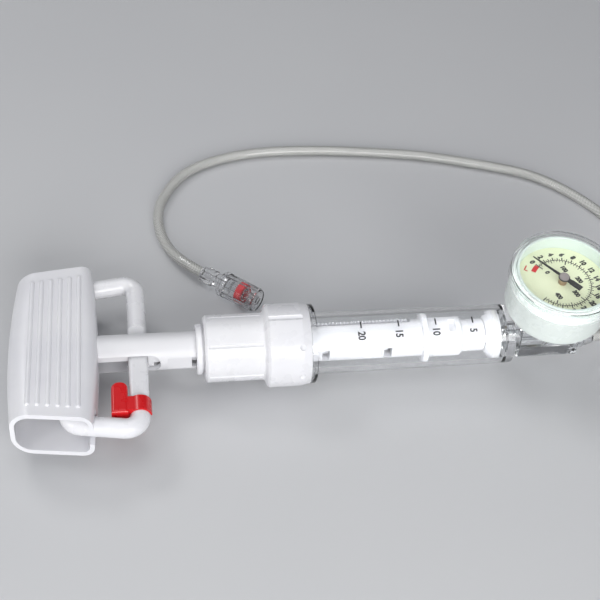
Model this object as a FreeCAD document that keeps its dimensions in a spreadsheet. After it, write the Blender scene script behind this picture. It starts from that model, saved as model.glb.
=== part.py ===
import FreeCAD, Part
import Sketcher
import math
import os

# Hand-held inflation pump with a dial gauge: a 20 ml syringe whose plunger is
# pushed or screwed in by a palm grip, a squeeze bar that frees the half thread,
# a manifold with a pressure gauge, and a braided pressure tube with a luer end.
#
# Working frame while modelling: X runs along the syringe axis from the grip to
# the gauge, X = 0 at the front rim of the nut, Z up, Y across.  Every sub-part
# is then placed by the same shift, so that the row's origin is on the surface
# the pump lies on, under the middle of its length.

doc = FreeCAD.newDocument("inflation_pump")
sheet = doc.addObject("Spreadsheet::Sheet", "dims")

DIMS = [
    ("shift_x", -2.1, "row origin: middle of the length"),
    ("shift_z", 16.95, "row origin: surface below the nut"),
    # barrel
    ("bore_rad", 10.15, "syringe bore radius"),
    ("barrel_rear_rad", 12.75, "barrel outer radius, rear"),
    ("barrel_front_rad", 12.2, "barrel outer radius, front"),
    ("barrel_rear", -19.0, "rear end of barrel"),
    ("bore_end", 81.6, "front end of bore"),
    ("barrel_front", 84.5, "front end of barrel"),
    ("collar_rad", 16.2, "clear collar of barrel, radius"),
    ("collar_front", 2.5, "clear collar, front face"),
    # nut
    ("nut_rear", -42.2, "rear face of nut"),
    ("nut_step", -18.4, "shoulder between the nut's two sections"),
    ("nut_small_rad", 13.65, "nut, small section"),
    ("nut_large_rad", 16.95, "nut, large section"),
    ("nut_bore_rad", 12.85, "nut, inside"),
    # thread and guide
    ("crest_rad", 8.25, "crest radius of the half nut"),
    ("tooth_rad", 8.1, "tip radius of the toothed half"),
    ("bush_rad", 10.3, "rear guide bush, radius"),
    # plunger
    ("rod_rad", 7.5, "plunger rod radius"),
    ("slot_front", -59.6, "front end of cross slot"),
    ("slot_rear", -84.4, "rear end of cross slot"),
    ("slot_half", 4.1, "half height of cross slot"),
    ("rack_rear", -38.0, "rear end of toothed half"),
    ("rack_front", 41.5, "front end of toothed half"),
    ("guide_rad", 10.0, "front guide disc radius"),
    ("stem_wide_rad", 8.1, "piston stem, wide part"),
    ("stem_thin_rad", 6.6, "piston stem, thin part"),
    ("piston_rear", 73.0, "rear edge of piston"),
    ("piston_front", 78.7, "front face of piston"),
    ("piston_rad", 10.0, "piston body radius"),
    ("seal_rad", 10.1, "piston seal radius"),
    # grip
    ("grip_palm", -117.0, "palm side of grip, at its ends"),
    ("grip_front", -86.1, "front side of grip, at its ends"),
    ("palm_bow", 2.07, "outward bow of palm side"),
    ("front_bow", 1.95, "outward bow of front side"),
    ("grip_half_palm", 39.25, "half length on the palm side"),
    ("grip_half_front", 43.65, "half length on the front side"),
    ("grip_far_trim", 1.4, "far end of grip, shorter by"),
    ("grip_half_height", 10.8, "half height of grip"),
    ("grip_wall", 2.0, "wall of grip"),
    ("rib_pitch", 3.76, "spacing of grip ribs"),
    ("rib_rad", 1.0, "grip rib radius"),
    # squeeze bar
    ("bar_x", -68.59, "squeeze bar axis"),
    ("bar_rad", 3.87, "squeeze bar section radius"),
    ("bar_half", 41.23, "half length of squeeze bar to arm axis"),
    ("arm_slope", 0.175, "flare of the arms"),
    ("inner_x", -95.5, "inner cross bar axis"),
    ("squeeze", 4.5, "squeeze travel"),
    ("rack_draw", 1.6, "draw of toothed half"),
    # lock
    ("lock_y", -31.0, "middle of lock clip along the bar"),
    ("lock_width", 7.3, "width of lock clip"),
    # manifold
    ("block_rear", 87.8, "manifold block, rear"),
    ("block_front", 112.8, "manifold block, front"),
    ("outlet_z", -4.0, "outlet axis below syringe axis"),
    # gauge
    ("gauge_x", 100.3, "where the gauge axis meets the syringe axis"),
    ("gauge_tilt", 9.0, "gauge tilt towards -Y, degrees"),
    ("gauge_lean", 0.0, "gauge lean towards +X, degrees"),
    ("case_low", 16.2, "gauge case, underside"),
    ("case_rad", 20.6, "gauge case radius"),
    ("lens_rad", 21.9, "lens cap radius"),
    ("lens_top", 38.6, "lens cap, top face"),
    ("dial_level", 31.5, "dial face"),
    ("dial_rad", 18.4, "dial radius"),
    # tube
    ("tube_rad", 2.45, "pressure tube radius"),
    ("luer_rad", 5.7, "luer collar radius"),
]
for i, (alias, value, note) in enumerate(DIMS, start=1):
    sheet.set("A%d" % i, note)
    sheet.set("B%d" % i, str(value))
    sheet.setAlias("B%d" % i, alias)
doc.recompute()


class L:
    """A length that carries its value and its spreadsheet formula."""

    def __init__(self, v, f):
        self.v = float(v)
        self.f = f

    def __add__(self, o):
        o = ln(o)
        return L(self.v + o.v, "(%s + %s)" % (self.f, o.f))

    def __radd__(self, o):
        return ln(o) + self

    def __sub__(self, o):
        o = ln(o)
        return L(self.v - o.v, "(%s - %s)" % (self.f, o.f))

    def __rsub__(self, o):
        return ln(o) - self

    def __mul__(self, o):
        o = ln(o)
        return L(self.v * o.v, "(%s * %s)" % (self.f, o.f))

    __rmul__ = __mul__

    def __neg__(self):
        return L(-self.v, "(0 - %s)" % self.f)


def ln(v):
    if isinstance(v, L):
        return v
    return L(v, "(0 - %.6f)" % -v if v < 0 else "%.6f" % v)


D = {alias: L(value, "dims." + alias) for alias, value, note in DIMS}
SHIFT = FreeCAD.Placement(FreeCAD.Vector(D["shift_x"].v, 0, D["shift_z"].v), FreeCAD.Rotation())

tilt = math.radians(D["gauge_tilt"].v)
lean = math.radians(D["gauge_lean"].v)
GN = FreeCAD.Vector(math.sin(lean), -math.sin(tilt) * math.cos(lean), math.cos(tilt) * math.cos(lean))
GX = FreeCAD.Vector(1, 0, 0) - GN * GN.x
GX.normalize()
GY = GN.cross(GX)
GROT = FreeCAD.Rotation(GX, GY, GN, "ZXY")
GAUGE = SHIFT * FreeCAD.Placement(FreeCAD.Vector(D["gauge_x"].v, 0, 0), GROT)

NODES = []


def node(obj, name, place=SHIFT):
    obj.Label = name
    obj.Placement = place
    NODES.append(obj)
    return obj


def body(name, place=SHIFT):
    b = doc.addObject("PartDesign::Body", name)
    return node(b, name, place)


def plane(b, role):
    for f in b.Origin.OriginFeatures:
        if f.Role == role:
            return f
    raise RuntimeError(role)


def put(obj, prop, val):
    val = ln(val)
    setattr(obj, prop, val.v)
    obj.setExpression(prop, val.f)


def profile(b, role, pts, name="profile"):
    """Closed polyline sketch; every corner is placed by two driven dimensions."""
    sk = b.newObject("Sketcher::SketchObject", name)
    sk.AttachmentSupport = [(plane(b, role), "")]
    sk.MapMode = "FlatFace"
    pts = [(ln(a), ln(c)) for a, c in pts]
    k = len(pts)
    for i in range(k):
        p, r = pts[i], pts[(i + 1) % k]
        sk.addGeometry(Part.LineSegment(FreeCAD.Vector(p[0].v, p[1].v, 0), FreeCAD.Vector(r[0].v, r[1].v, 0)), False)
    for i in range(k):
        sk.addConstraint(Sketcher.Constraint("Coincident", i, 2, (i + 1) % k, 1))
    for i, (a, c) in enumerate(pts):
        for kind, val, axis in (("DistanceX", a, -2), ("DistanceY", c, -1)):
            if abs(val.v) < 1e-9:
                sk.addConstraint(Sketcher.Constraint("PointOnObject", i, 1, axis))
            else:
                j = sk.addConstraint(Sketcher.Constraint(kind, -1, 1, i, 1, val.v))
                sk.setExpression("Constraints[%d]" % j, val.f)
    return sk


def revolve(b, pts, axis="X", cut=False, name="turned"):
    """Turned shape: (x, r) corners about X, or (r, z) corners about Z."""
    sk = profile(b, "XZ_Plane", pts, name + "_profile")
    f = b.newObject("PartDesign::Groove" if cut else "PartDesign::Revolution", name)
    f.Profile = sk
    f.ReferenceAxis = (sk, ["H_Axis" if axis == "X" else "V_Axis"])
    f.Angle = 360.0
    b.Tip = f
    return f


def pdbox(b, cut, lo, hi, name="block", rot=None):
    f = b.newObject("PartDesign::SubtractiveBox" if cut else "PartDesign::AdditiveBox", name)
    lo = [ln(v) for v in lo]
    hi = [ln(v) for v in hi]
    put(f, "Length", hi[0] - lo[0])
    put(f, "Width", hi[1] - lo[1])
    put(f, "Height", hi[2] - lo[2])
    f.Placement = FreeCAD.Placement(FreeCAD.Vector(lo[0].v, lo[1].v, lo[2].v), FreeCAD.Rotation())
    for a, v in zip("xyz", lo):
        f.setExpression("Placement.Base." + a, v.f)
    b.Tip = f
    return f


AX = {
    "X": FreeCAD.Rotation(FreeCAD.Vector(0, 1, 0), 90),
    "Y": FreeCAD.Rotation(FreeCAD.Vector(1, 0, 0), -90),
    "Z": FreeCAD.Rotation(),
}


def pdcyl(b, cut, r, h, at, axis="X", name="round"):
    f = b.newObject("PartDesign::SubtractiveCylinder" if cut else "PartDesign::AdditiveCylinder", name)
    put(f, "Radius", r)
    put(f, "Height", h)
    at = [ln(v) for v in at]
    f.Placement = FreeCAD.Placement(FreeCAD.Vector(at[0].v, at[1].v, at[2].v), AX[axis])
    for a, v in zip("xyz", at):
        f.setExpression("Placement.Base." + a, v.f)
    b.Tip = f
    return f


def polar(b, feats, role, n, name="ring"):
    doc.recompute()
    f = b.newObject("PartDesign::PolarPattern", name)
    f.Originals = feats
    f.Axis = (plane(b, role), [""])
    f.Angle = 360
    f.Occurrences = n
    b.Tip = f
    return f


def round_edges(b, test, r, name="soft_edge"):
    """Fillet the edges of the body's tip that the test picks."""
    doc.recompute()
    tip = b.Tip
    names = ["Edge%d" % (i + 1) for i, e in enumerate(tip.Shape.Edges) if test(e)]
    if not names:
        raise RuntimeError("no edge to round on " + b.Label)
    f = b.newObject("PartDesign::Fillet", name)
    f.Base = (tip, names)
    put(f, "Radius", r)
    b.Tip = f
    doc.recompute()
    return f


def circle_at(coord, value, rad, tol=0.02):
    def test(e):
        c = e.Curve
        return isinstance(c, Part.Circle) and abs(getattr(c.Center, coord) - value) < tol and abs(c.Radius - rad) < tol
    return test


def settled(shape):
    """The same shape with its own placement worked into its geometry."""
    p = shape.Placement
    if p.isIdentity():
        return shape
    s = shape.copy()
    s.Placement = FreeCAD.Placement()
    return s.transformed(p.toMatrix(), True)


def shape_node(name, shape, place=SHIFT):
    f = doc.addObject("Part::Feature", name)
    f.Shape = settled(shape)
    return node(f, name, place)


def V(x, y, z):
    return FreeCAD.Vector(x, y, z)


# ---------------------------------------------------------------- barrel
b = body("barrel")
revolve(b, [
    (D["barrel_rear"], D["bore_rad"] + 0.5), (D["barrel_rear"], D["barrel_rear_rad"]),
    (0.15, D["barrel_rear_rad"]), (0.15, D["collar_rad"]), (D["collar_front"] - 0.4, D["collar_rad"]),
    (D["collar_front"], D["collar_rad"] - 0.4), (D["collar_front"], D["barrel_rear_rad"]),
    (D["barrel_front"] - 0.5, D["barrel_front_rad"]), (D["barrel_front"], D["barrel_front_rad"] - 0.5),
    (D["barrel_front"], 3.3), (D["bore_end"], 3.3), (D["bore_end"], D["bore_rad"] - 1.2),
    (D["bore_end"] - 1.2, D["bore_rad"]), (D["barrel_rear"] + 2.0, D["bore_rad"])])

# ---------------------------------------------------------------- nut
b = body("barrel_nut")
revolve(b, [
    (D["nut_rear"], 9.0), (D["nut_rear"], D["nut_small_rad"] - 1.0), (D["nut_rear"] + 1.0, D["nut_small_rad"]),
    (D["nut_step"], D["nut_small_rad"]), (D["nut_step"] + 0.9, D["nut_large_rad"] - 1.0),
    (D["nut_step"] + 1.9, D["nut_large_rad"]), (-3.4, D["nut_large_rad"]), (0, D["nut_large_rad"] - 0.75),
    (0, D["nut_bore_rad"]), (D["nut_rear"] + 3.4, D["nut_bore_rad"]), (D["nut_rear"] + 3.4, 9.0)])
round_edges(b, circle_at("x", D["nut_step"].v, D["nut_small_rad"].v), 0.8)
g = pdcyl(b, True, 1.6, 13.0, (D["nut_step"] + 1.6, 0, D["nut_large_rad"] + 0.9), "X", "lobe_groove")
gs = b.newObject("PartDesign::SubtractiveSphere", "lobe_end")
gs.Radius = 1.6
gs.Placement = FreeCAD.Placement(V(D["nut_step"].v + 14.6, 0, D["nut_large_rad"].v + 0.9), FreeCAD.Rotation())
b.Tip = gs
polar(b, [g, gs], "X_Axis", 8, "lobes")
fa = math.radians(37.0)
h = pdcyl(b, True, 0.85, D["nut_step"] - D["nut_rear"] - 2.2, (D["nut_rear"] + 1.6, -(D["nut_small_rad"] + 0.25) * math.sin(fa), (D["nut_small_rad"] + 0.25) * math.cos(fa)), "X", "grip_groove")
polar(b, [h], "X_Axis", 6, "grip_flutes")
b.Placement = SHIFT * FreeCAD.Placement(V(0, 0, 0), FreeCAD.Rotation(V(1, 0, 0), 6.0))

# ---------------------------------------------------------------- half nut inside the cap
PITCH = 1.5


def toothed(x0, x1, r_root, r_tip, r_far):
    """Ring profile with saw teeth at r_tip; r_far is the plain side."""
    pts = [V(x0, 0, r_far), V(x0, 0, r_root)]
    n = int((x1 - x0) / PITCH)
    start = x0 + 0.5 * ((x1 - x0) - n * PITCH)
    for i in range(n):
        a = start + i * PITCH
        pts += [V(a + 0.15, 0, r_root), V(a + 0.6, 0, r_tip), V(a + 0.9, 0, r_tip), V(a + 1.35, 0, r_root)]
    pts += [V(x1, 0, r_root), V(x1, 0, r_far), pts[0]]
    face = Part.Face(Part.makePolygon(pts))
    return face.revolve(V(0, 0, 0), V(1, 0, 0), 360)


ring = toothed(D["nut_rear"].v + 3.4, -20.2, 9.1, D["crest_rad"].v, 12.6)
shape_node("half_nut", ring)

b = body("rear_bush")
revolve(b, [
    (-45.4, 8.2), (-45.4, D["bush_rad"] - 0.5), (-44.9, D["bush_rad"]), (-43.3, D["bush_rad"]), (-42.9, D["bush_rad"] - 0.4),
    (-42.9, 8.95), (-38.85, 8.95), (-38.85, 8.2)])

# ---------------------------------------------------------------- plunger rod
b = body("plunger_rod")
revolve(b, [(-88.6, 0), (-88.6, D["rod_rad"]), (49.0, D["rod_rad"]), (49.0, 0)])
pdbox(b, False, (-90.8, -12, -7.4), (-88.6, 12, 7.4), "flange")
pdbox(b, True, (D["slot_rear"], -9, -D["slot_half"]), (D["slot_front"] - D["slot_half"], 9, D["slot_half"]), "cross_slot")
pdcyl(b, True, D["slot_half"], 18, (D["slot_front"] - D["slot_half"], -9, 0), "Y", "slot_end")
pdbox(b, True, (-90.9, -5.8, -D["slot_half"]), (-84.0, 5.8, D["slot_half"]), "rear_cavity")
pdbox(b, True, (-66.0, -4.7, -3.5), (D["rack_front"] + 0.9, 1.8, 3.5), "release_channel")
pdbox(b, True, (D["rack_rear"] - 0.9, 1.7, -9), (D["rack_front"] + 0.9, 9, 9), "rack_seat")
pdbox(b, True, (-56.8, -9, -3.9), (-44.5, -6.7, 2.6), "rear_relief")
pdbox(b, True, (-47.3, -9, -3.0), (-44.6, -4, 2.4), "rear_window")
pdbox(b, True, (5.0, -9, -3.3), (8.1, -4, 2.8), "window_one")
pdbox(b, True, (22.2, -9, -3.3), (29.8, -6.3, 1.8), "window_two")
pdbox(b, True, (30.4, -9, -3.3), (33.8, -4, 2.2), "window_three")
for sx in (-25.0, 28.0):
    for sz in (-4.5, 4.5):
        pdcyl(b, True, 1.15, 3.4, (sx, -1.6, sz), "Y", "spring_pocket")
for sy in (-9.5, 9.5):
    for sz in (-5.0, 5.0):
        pdcyl(b, True, 1.25, 2.6, (-91.0, sy, sz), "X", "screw_hole")
pdcyl(b, True, 1.62, 14.2, (44.0, -7.1, 0), "Y", "stem_pin_hole")

# screws that hold the rod's flange to the grip's front wall
screws = None
for sy in (-9.5, 9.5):
    for sz in (-5.0, 5.0):
        s = Part.makeCylinder(1.2, 4.2, V(-90.8, sy, sz), V(1, 0, 0)).fuse(Part.makeCylinder(2.1, 1.2, V(-92.0, sy, sz), V(1, 0, 0)))
        s = s.cut(Part.makeBox(0.6, 3.4, 0.6, V(-92.1, sy - 1.7, sz - 0.3)))
        screws = s if screws is None else Part.makeCompound([screws, s]) if screws.ShapeType == "Solid" else Part.makeCompound(screws.Solids + [s])
shape_node("flange_screws", screws)

# ---------------------------------------------------------------- toothed half
PIN_X, PIN_Y = -12.0, -1.3
teeth = toothed(D["rack_rear"].v, D["rack_front"].v, 7.35, D["tooth_rad"].v, 0.0)
seg = teeth.common(Part.makeBox(200, 20, 40, V(-100, 3.4, -20)))
seg = seg.Solids[0]
ears = []
for x in (PIN_X, 25.0 - 1.0):
    for z0 in (2.05, -3.3):
        ears.append(Part.makeBox(5.0, 7.3, 1.25, V(x - 2.5, -2.9, z0)))
seg = seg.multiFuse(ears)
for x in (PIN_X, 24.0):
    seg = seg.cut(Part.makeCylinder(0.8, 8, V(x, PIN_Y, -4), V(0, 0, 1)))
for sx in (-25.0, 28.0):
    for sz in (-4.5, 4.5):
        seg = seg.cut(Part.makeCylinder(1.15, 0.8, V(sx, 3.3, sz), V(0, 1, 0)))
shape_node("toothed_half", seg.removeSplitter())
pins = Part.makeCompound([Part.makeCylinder(0.8, 6.6, V(x, PIN_Y, -3.3), V(0, 0, 1)) for x in (PIN_X, 24.0)])
shape_node("draw_pins", pins)

# ---------------------------------------------------------------- release slide
# A flat slide in the rod.  Its two slanted slots turn the squeeze into the draw
# of the toothed half: 4.5 mm back draws the half 1.6 mm into the rod.
lo = Part.makeBox(97.0, 5.2, 3.4, V(-64.4, -4.3, -1.7))
for x in (PIN_X, 24.0):
    dx, dy = D["squeeze"].v, D["rack_draw"].v
    u = V(dx, -dy, 0)
    u.normalize()
    w = V(-u.y, u.x, 0)
    r = 0.88
    a0 = V(x, PIN_Y, -2)
    a1 = a0 + V(dx, -dy, 0)
    quad = Part.Face(Part.makePolygon([a0 + w * r, a1 + w * r, a1 - w * r, a0 - w * r, a0 + w * r]))
    lo = lo.cut(quad.extrude(V(0, 0, 4)))
    for c in (a0, a1):
        lo = lo.cut(Part.makeCylinder(r, 4, c, V(0, 0, 1)))
fork = Part.makeBox(8.6, 9.8, 1.35, V(-72.9, -4.9, 2.45)).multiFuse([
    Part.makeBox(8.6, 9.8, 1.35, V(-72.9, -4.9, -3.8)),
    Part.makeBox(2.4, 9.0, 7.2, V(-64.6, -4.3, -3.6)),
    Part.makeBox(15.6, 9.8, 3.5, V(-88.2, -4.9, 0.3)),
    lo])
shape_node("release_slide", fork.removeSplitter())

# ---------------------------------------------------------------- stem, piston
b = body("piston_stem")
revolve(b, [
    (46.6, 0), (46.6, D["guide_rad"] - 0.5), (47.1, D["guide_rad"]), (48.5, D["guide_rad"]), (48.9, D["guide_rad"] - 0.5),
    (49.0, D["stem_wide_rad"]), (62.3, D["stem_wide_rad"]), (63.4, D["stem_thin_rad"] + 0.5), (63.5, D["stem_thin_rad"]),
    (72.7, D["stem_thin_rad"]), (72.7, 3.0), (76.2, 3.0), (76.4, 2.6), (76.4, 0)])
pdcyl(b, True, 7.55, 2.5, (46.55, 0, 0), "X", "rod_recess")
pdbox(b, True, (57.6, -4.4, 6.4), (60.6, 1.2, 9.0), "catch_window")

b = body("piston")
revolve(b, [
    (D["piston_rear"], 3.06), (D["piston_rear"], D["stem_thin_rad"] + 0.1), (75.4, 9.5), (75.6, D["piston_rad"]),
    (76.3, D["piston_rad"]), (76.3, 8.9), (78.0, 8.9), (78.0, D["piston_rad"]), (D["piston_front"] - 0.3, D["piston_rad"]),
    (D["piston_front"], D["piston_rad"] - 0.3), (D["piston_front"], 0), (76.8, 0), (76.8, 3.06)])
b = body("piston_seal")
revolve(b, [(76.35, 8.92), (76.35, D["seal_rad"] - 0.2), (76.75, D["seal_rad"]), (77.55, D["seal_rad"]), (77.95, D["seal_rad"] - 0.2), (77.95, 8.92)])

# ---------------------------------------------------------------- grip
P0, F0 = D["grip_palm"].v, D["grip_front"].v
PB, FB = D["palm_bow"].v, D["front_bow"].v
HP, HF = D["grip_half_palm"].v, D["grip_half_front"].v
HH, WALL = D["grip_half_height"].v, D["grip_wall"].v


def grip_solid(inset, half_height, over, rp, rf):
    """Bowed block; inset moves both bowed faces inwards, over runs past the ends."""
    slope = (HF - HP) / (F0 - P0)
    trim = D["grip_far_trim"].v
    xp, xf = P0 + inset, F0 - inset
    yp = HP + slope * (xp - P0) + over
    yf = HP + slope * (xf - P0) + over
    e = [
        Part.Arc(V(xp, -yp, 0), V(xp - PB, 0, 0), V(xp, yp - trim, 0)).toShape(),
        Part.LineSegment(V(xp, yp - trim, 0), V(xf, yf - trim, 0)).toShape(),
        Part.Arc(V(xf, yf - trim, 0), V(xf + FB, 0, 0), V(xf, -yf, 0)).toShape(),
        Part.LineSegment(V(xf, -yf, 0), V(xp, -yp, 0)).toShape()]
    s = Part.Face(Part.Wire(e)).extrude(V(0, 0, 2 * half_height))
    s.translate(V(0, 0, -half_height))
    palm = [ed for ed in s.Edges if isinstance(ed.Curve, Part.Circle) and ed.BoundBox.XMax < (xp + xf) / 2]
    frnt = [ed for ed in s.Edges if isinstance(ed.Curve, Part.Circle) and ed.BoundBox.XMin > (xp + xf) / 2]
    s = s.makeFillet(rp, palm)
    frnt = [ed for ed in s.Edges if isinstance(ed.Curve, Part.Circle) and ed.BoundBox.XMin > (xp + xf) / 2 and abs(ed.BoundBox.ZMax - ed.BoundBox.ZMin) < 0.01 and ed.Length > 40]
    s = s.makeFillet(rf, frnt)
    return s


outer = grip_solid(0.0, HH, 0.0, 8.0, 5.0)
inner = grip_solid(WALL, HH - WALL, 3.0, 6.0, 3.0)
ribs = []
for k in range(6):
    x = -110.0 + k * D["rib_pitch"].v
    y0 = -34.6 - 0.55 * k
    y1 = 32.2 + 0.5 * k
    for sgn in (1, -1):
        z = sgn * (HH - 0.25)
        rr = D["rib_rad"].v
        c = Part.makeCylinder(rr, y1 - y0, V(x, y0, z), V(0, 1, 0))
        ribs.append(c.multiFuse([Part.makeSphere(rr, V(x, y0, z)), Part.makeSphere(rr, V(x, y1, z))]).cut(
            Part.makeBox(6, 90, 6, V(x - 3, -45, -6.2 + (HH - 1.2) if sgn > 0 else -(HH - 1.2) + 0.2))))
shell = outer.cut(inner)
shell = shell.multiFuse([rb for rb in ribs])
shell = shell.cut(Part.makeCylinder(D["rod_rad"].v + 0.05, 8, V(-89.5, 0, 0), V(1, 0, 0)))
for sgn in (-1, 1):
    y0 = sgn * 33.0
    y1 = sgn * 47.0
    shell = shell.cut(Part.makeBox(8.0, abs(y1 - y0), 2 * (D["bar_rad"].v + 0.35), V(-90.5, min(y0, y1), -D["bar_rad"].v - 0.35)))
for sy in (-9.5, 9.5):
    for sz in (-5.0, 5.0):
        shell = shell.cut(Part.makeCylinder(1.21, 2.25, V(-88.7, sy, sz), V(1, 0, 0)))
# seat for the return spring on the palm wall
xpin = P0 - PB + WALL
shell = shell.fuse(Part.makeCylinder(3.0, 2.4, V(xpin - 0.6, 0, 0), V(1, 0, 0)))
shape_node("grip_shell", shell.removeSplitter())

# ---------------------------------------------------------------- squeeze bar
BX, BR, BH = D["bar_x"].v, D["bar_rad"].v, D["bar_half"].v
IX = D["inner_x"].v


def rounded_loop(pts, radii):
    k = len(pts)
    edges, cuts = [], []
    for i in range(k):
        p, c, n_ = pts[i - 1], pts[i], pts[(i + 1) % k]
        a = (p - c)
        a.normalize()
        d = (n_ - c)
        d.normalize()
        half = 0.5 * a.getAngle(d)
        t = radii[i] / math.tan(half)
        bis = a + d
        bis.normalize()
        mid = c + bis * (radii[i] / math.sin(half) - radii[i])
        cuts.append((c + a * t, mid, c + d * t))
    for i in range(k):
        edges.append(Part.Arc(*cuts[i]).toShape())
        edges.append(Part.LineSegment(cuts[i][2], cuts[(i + 1) % k][0]).toShape())
    return edges


yin = BH - D["arm_slope"].v * (BX - IX)
corner = [V(BX, -BH, 0), V(BX, BH, 0), V(IX, yin, 0), V(IX, -yin, 0)]
edges = rounded_loop(corner, [5.3, 5.3, 6.0, 6.0])
pipes = []
for e in edges:
    p0 = e.valueAt(e.FirstParameter)
    t0 = e.tangentAt(e.FirstParameter)
    if isinstance(e.Curve, Part.Line):
        pipes.append(Part.makeCylinder(BR, e.Length, p0, t0))
    else:
        c = e.Curve.Center
        circ = Part.Face(Part.Wire([Part.makeCircle(BR, p0, t0)]))
        ax = (p0 - c).cross(t0)
        ang = math.degrees(e.Length / e.Curve.Radius)
        pipes.append(circ.revolve(c, ax, ang))
loop = pipes[0].multiFuse(pipes[1:])
# the cross bar is flat above and below from the lock clip to just past the rod
y0, y1 = -26.8, 11.5
loop = loop.cut(Part.makeBox(2 * BR + 2, y1 - y0, 2 * BR + 2, V(BX - BR - 1, y0, -BR - 1)))
flat = Part.makeBox(7.6, y1 - y0, 6.4, V(BX - 3.8, y0, -3.2))
flat = flat.makeFillet(1.5, [e for e in flat.Edges if e.BoundBox.YLength > 30])
loop = loop.fuse(flat)
# waist where the bar crosses the rod, for the fork of the release slide
for z0 in (2.3, -2.3 - 3.0):
    loop = loop.cut(Part.makeBox(2 * BR + 2, 10.6, 3.0, V(BX - BR - 1, -5.3, z0)))
loop = loop.fuse(Part.makeCylinder(2.6, 2.2, V(IX - BR - 1.9, 0, 0), V(1, 0, 0)))
shape_node("squeeze_bar", loop.removeSplitter())


def coil(axis_from, direction, length, r_mean, r_wire, turns):
    """Closed-end compression spring as a round wire along a helix."""
    pitch = (length - 2 * r_wire) / turns
    hx = Part.makeHelix(pitch, pitch * turns, r_mean)
    prof = Part.Wire([Part.makeCircle(r_wire, V(r_mean, 0, 0), V(0, 1, 0))])
    s = Part.Wire(hx.Edges).makePipeShell([prof], True, True)
    s.translate(V(0, 0, r_wire))
    s.Placement = FreeCAD.Placement(axis_from, FreeCAD.Rotation(V(0, 0, 1), direction)).multiply(s.Placement)
    return s


x_seat0 = xpin
x_seat1 = IX - BR
shape_node("return_spring", coil(V(x_seat0 + 0.1, 0, 0), V(1, 0, 0), x_seat1 - x_seat0 - 0.2, 3.9, 0.35, 6))
small = [coil(V(sx, -1.55, sz), V(0, 1, 0), 5.6, 0.75, 0.25, 4) for sx in (-25.0, 28.0) for sz in (-4.5, 4.5)]
shape_node("tooth_springs", Part.makeCompound(small))

# ---------------------------------------------------------------- lock clip
LY, LW = D["lock_y"].v, D["lock_width"].v
ri, ro = BR + 0.08, BR + 0.7
clip = Part.makeCylinder(ro, LW, V(BX, LY - LW / 2, 0), V(0, 1, 0)).cut(Part.makeCylinder(ri, LW + 2, V(BX, LY - LW / 2 - 1, 0), V(0, 1, 0)))
clip = clip.cut(Part.makeBox(2 * 3.1, LW + 2, 8, V(BX - 3.1, LY - LW / 2 - 1, -8.0)))
clip = clip.cut(Part.makeBox(8, LW + 2, 8, V(BX, LY - LW / 2 - 1, -7.5)))
lobe = Part.makeBox(6.4, 16.0, 7.4, V(-79.4, -35.2, -3.3))
lobe = lobe.makeFillet(3.1, [e for e in lobe.Edges if abs(e.BoundBox.ZMax - e.BoundBox.ZMin) > 7 and e.BoundBox.YMin > -25])
lobe = lobe.makeFillet(1.1, [e for e in lobe.Edges if abs(e.BoundBox.ZMax - e.BoundBox.ZMin) < 0.01 and e.BoundBox.ZMax > 4])
neck = Part.makeBox(3.2, LW - 0.4, 5.4, V(-73.6, LY - LW / 2 + 0.2, -1.3)).cut(
    Part.makeCylinder(ri + 0.3, LW + 2, V(BX, LY - LW / 2 - 1, 0), V(0, 1, 0)))
hole = Part.makeCylinder(ri, 30, V(BX, LY - 15, 0), V(0, 1, 0))
shape_node("lock_clip", clip.multiFuse([lobe.cut(hole), neck]).removeSplitter())

# ---------------------------------------------------------------- manifold
tube_z = D["outlet_z"].v
b = body("manifold")
revolve(b, [
    (82.2, 0.9), (82.2, 3.2), (84.6, 3.2), (84.6, 7.2), (85.1, 7.6), (87.3, 7.6), (D["block_rear"], 7.2), (D["block_rear"] + 3.0, 7.2), (D["block_rear"] + 3.0, 0.9)])
pdbox(b, False, (D["block_rear"], -8, -7.6), (D["block_front"], 8, 8.4), "valve_block")
round_edges(b, lambda e: e.BoundBox.XLength > 20 and isinstance(e.Curve, Part.Line), 2.2)
pdcyl(b, False, 4.6, 4.2, (D["block_front"] - 0.2, 0, D["outlet_z"]), "X", "outlet_boss")
pdcyl(b, True, 0.9, D["gauge_x"] - D["block_rear"] + 0.6, (D["block_rear"], 0, 0), "X", "pressure_way")
pdcyl(b, True, 0.9, 18.0, (99.0, 0, D["outlet_z"]), "X", "outlet_way")
pdcyl(b, True, 3.45, 6.2, (D["block_front"] - 2.0, 0, D["outlet_z"]), "X", "outlet_socket")
pdcyl(b, True, 0.9, 5.0, (D["gauge_x"], 0, -4.6), "Z", "cross_way")
doc.recompute()
mb = b
boss = doc.addObject("PartDesign::AdditiveCylinder", "gauge_boss")
mb.addObject(boss)
put(boss, "Radius", 6.6)
put(boss, "Height", D["case_low"] - 5.2)
boss.Placement = FreeCAD.Placement(V(D["gauge_x"].v, 0, 0), GROT).multiply(FreeCAD.Placement(V(0, 0, 5.0), FreeCAD.Rotation()))
mb.Tip = boss
doc.recompute()
for r_, z0, hgt, nm in ((3.06, 4.5, 14.0, "stem_hole"), (4.4, D["case_low"].v - 2.6, 3.0, "seal_recess"), (0.9, -1.5, 8.0, "gauge_way")):
    c = doc.addObject("PartDesign::SubtractiveCylinder", nm)
    mb.addObject(c)
    put(c, "Radius", r_)
    put(c, "Height", hgt)
    c.Placement = FreeCAD.Placement(V(D["gauge_x"].v, 0, 0), GROT).multiply(FreeCAD.Placement(V(0, 0, z0), FreeCAD.Rotation()))
    mb.Tip = c
    doc.recompute()

b = body("outlet_fitting")
revolve(b, [
    (112.0, 0.9), (112.0, 3.4), (117.05, 3.4), (117.3, 3.9), (118.6, 3.9), (121.5, 3.0), (121.5, 0.9)])
b.Placement = SHIFT * FreeCAD.Placement(V(0, 0, tube_z), FreeCAD.Rotation())

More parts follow.
